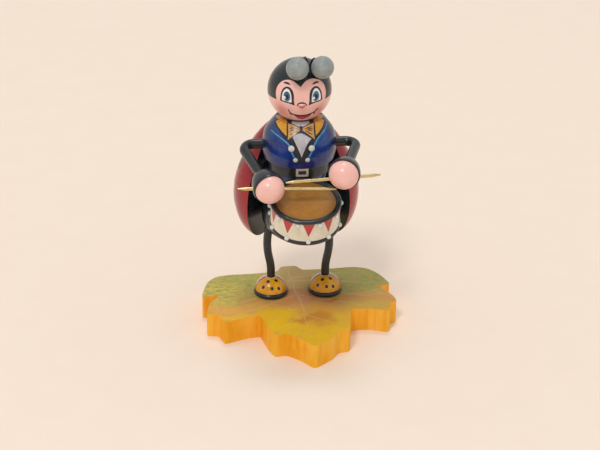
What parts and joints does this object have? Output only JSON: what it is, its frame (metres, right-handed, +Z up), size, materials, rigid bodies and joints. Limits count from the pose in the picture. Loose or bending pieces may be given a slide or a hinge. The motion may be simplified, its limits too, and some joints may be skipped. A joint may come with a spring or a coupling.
{
  "type": "drummer figurine",
  "caption": "Turned-wood ladybird drummer on a sawn maple-leaf base, with a turning head, swinging arms that hold brass sticks, a tilted drum and a pair of wing cases.",
  "frame": {"origin": "on the leaf's underside, under the middle of the part's bounding box", "axes": "+Z up along the figure; the figure faces -Y, and its own right side is at -X"},
  "size_m": [0.0798, 0.071, 0.1191],
  "materials": {
    "leaf_wood": "stained and lacquered, sawn edges",
    "black_enamel": "gloss enamel on turned wood",
    "shoe_enamel": "gloss enamel, painted spots",
    "jacket_enamel": "gloss enamel, painted jacket",
    "wing_enamel": "gloss enamel, painted spots",
    "skin_enamel": "gloss enamel",
    "head_enamel": "gloss enamel, painted face and hair",
    "silver_enamel": "silver-grey enamel",
    "drum_enamel": "gloss enamel, painted triangles",
    "drum_skin": "stained and varnished",
    "belt": "smooth",
    "nickel": "dull polish",
    "brass": "drawn rod",
    "bare_wood": "unfinished beech"
  },
  "bodies": {
    "figure": {"leaf_base": "leaf_wood", "right_sole": "black_enamel", "left_sole": "black_enamel", "right_shoe": "shoe_enamel", "left_shoe": "shoe_enamel", "right_leg": "black_enamel", "left_leg": "black_enamel", "abdomen": "black_enamel", "waist_dowel": "bare_wood", "torso": "jacket_enamel", "belt": "belt", "belt_buckle": "nickel", "jacket_buttons": "nickel", "neck_dowel": "bare_wood", "right_wing": "wing_enamel", "left_wing": "wing_enamel", "wing_pegs": "bare_wood", "drum_shell": "drum_enamel", "drum_skin": "drum_skin", "drum_bottom_skin": "drum_skin", "drum_top_hoop": "black_enamel", "drum_bottom_hoop": "black_enamel", "drum_top_studs": "nickel", "drum_bottom_studs": "nickel", "drum_peg": "bare_wood"},
    "head_unit": {"head": "head_enamel", "nose": "skin_enamel", "right_antenna_stalk": "black_enamel", "left_antenna_stalk": "black_enamel", "right_antenna_ball": "silver_enamel", "left_antenna_ball": "silver_enamel"},
    "right_arm_unit": {"right_arm": "black_enamel", "right_cuff": "black_enamel", "right_hand": "skin_enamel", "right_drumstick": "brass"},
    "left_arm_unit": {"left_arm": "black_enamel", "left_cuff": "black_enamel", "left_hand": "skin_enamel", "left_drumstick": "brass"}
  },
  "joints": [
    {"name": "head_turn", "type": "hinge", "parent": "figure", "child": "head_unit", "pos_m": [0, 0.0115, 0.1008], "axis": [0, 0, 1], "continuous": true},
    {"name": "left_arm_swing", "type": "hinge", "parent": "figure", "child": "left_arm_unit", "pos_m": [0.0145, 0.0115, 0.0777], "axis": [-1, 0, 0], "range_deg": [0, 60]},
    {"name": "right_arm_swing", "type": "hinge", "parent": "figure", "child": "right_arm_unit", "pos_m": [-0.0145, 0.0115, 0.0777], "axis": [-1, 0, 0], "range_deg": [0, 60]}
  ],
  "couplings": [
    {"joint": "right_arm_swing", "follows": "left_arm_swing", "ratio": 1}
  ]
}
